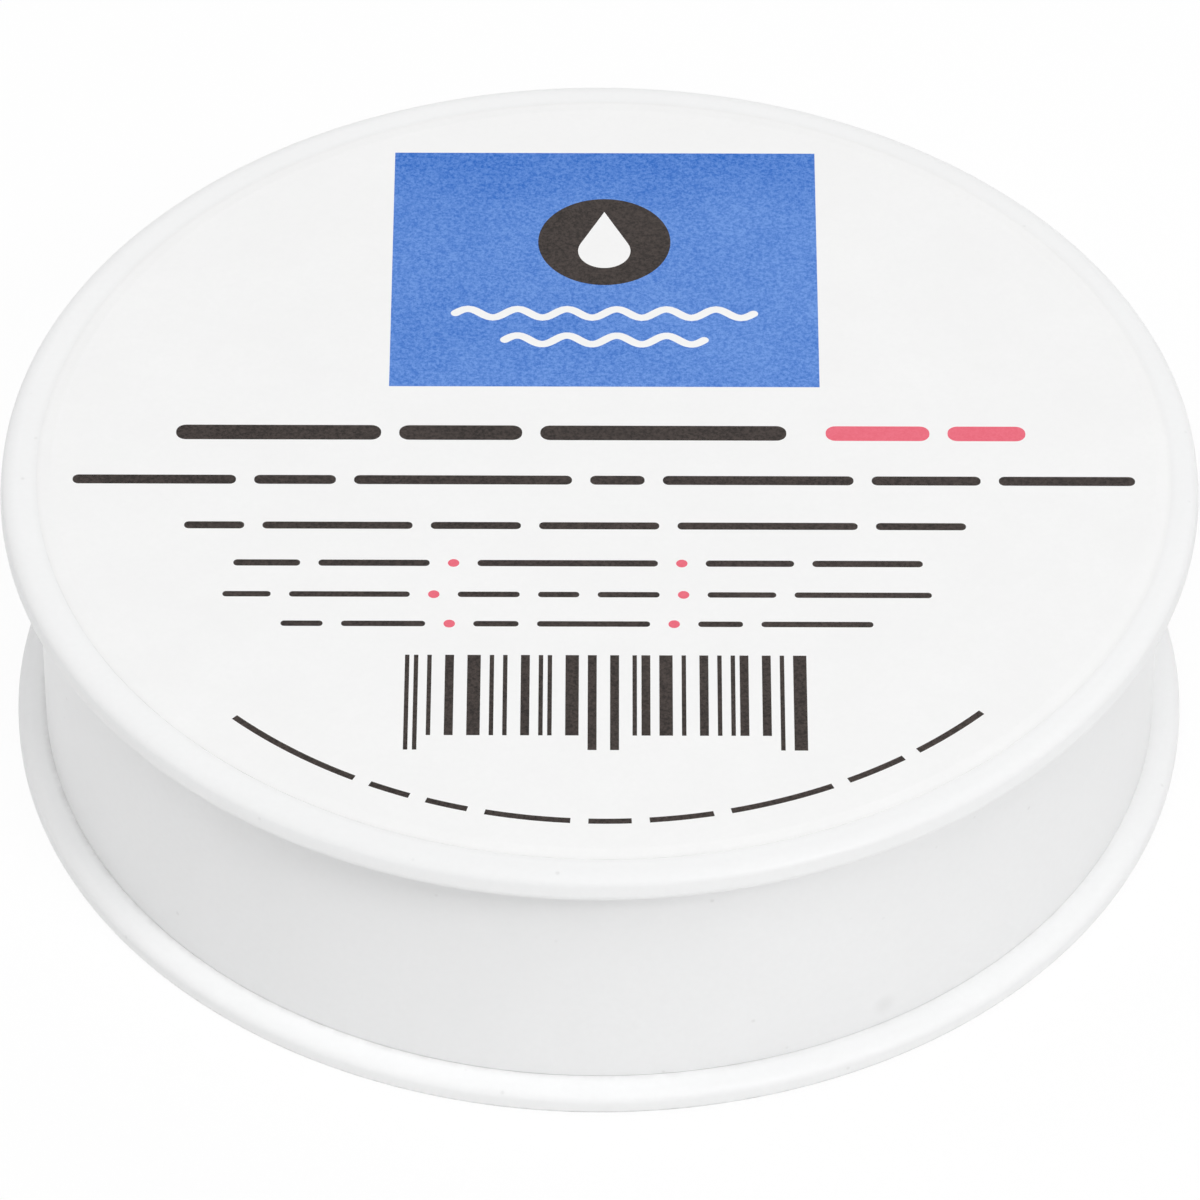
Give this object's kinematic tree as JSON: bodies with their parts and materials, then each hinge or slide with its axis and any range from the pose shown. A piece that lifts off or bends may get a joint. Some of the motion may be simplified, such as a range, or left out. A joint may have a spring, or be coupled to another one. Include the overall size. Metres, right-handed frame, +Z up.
{
  "type": "finger moistener pot",
  "caption": "Round flat white plastic pot with a lift-off skirted lid and a printed round top label, holding a cake of waxy compound that moistens fingertips for handling paper.",
  "frame": {"origin": "on the pot's centre line, in the plane of the foot ring that it stands on", "axes": "+Z up along the centre line through the lid, +Y towards the upper edge of the label's print, +X to the print's right"},
  "size_m": [0.076, 0.076, 0.0205],
  "materials": {
    "white_plastic": "satin",
    "compound": "satin",
    "label_paper": "satin"
  },
  "bodies": {
    "tray_body": {"base_tray": "white_plastic", "moistening_compound": "compound"},
    "lid_body": {"lid": "white_plastic", "top_label": "label_paper"}
  },
  "joints": [
    {"name": "lid_lift", "type": "slide", "parent": "tray_body", "child": "lid_body", "axis": [0, 0, 1], "range_m": [0, 0.04]}
  ]
}
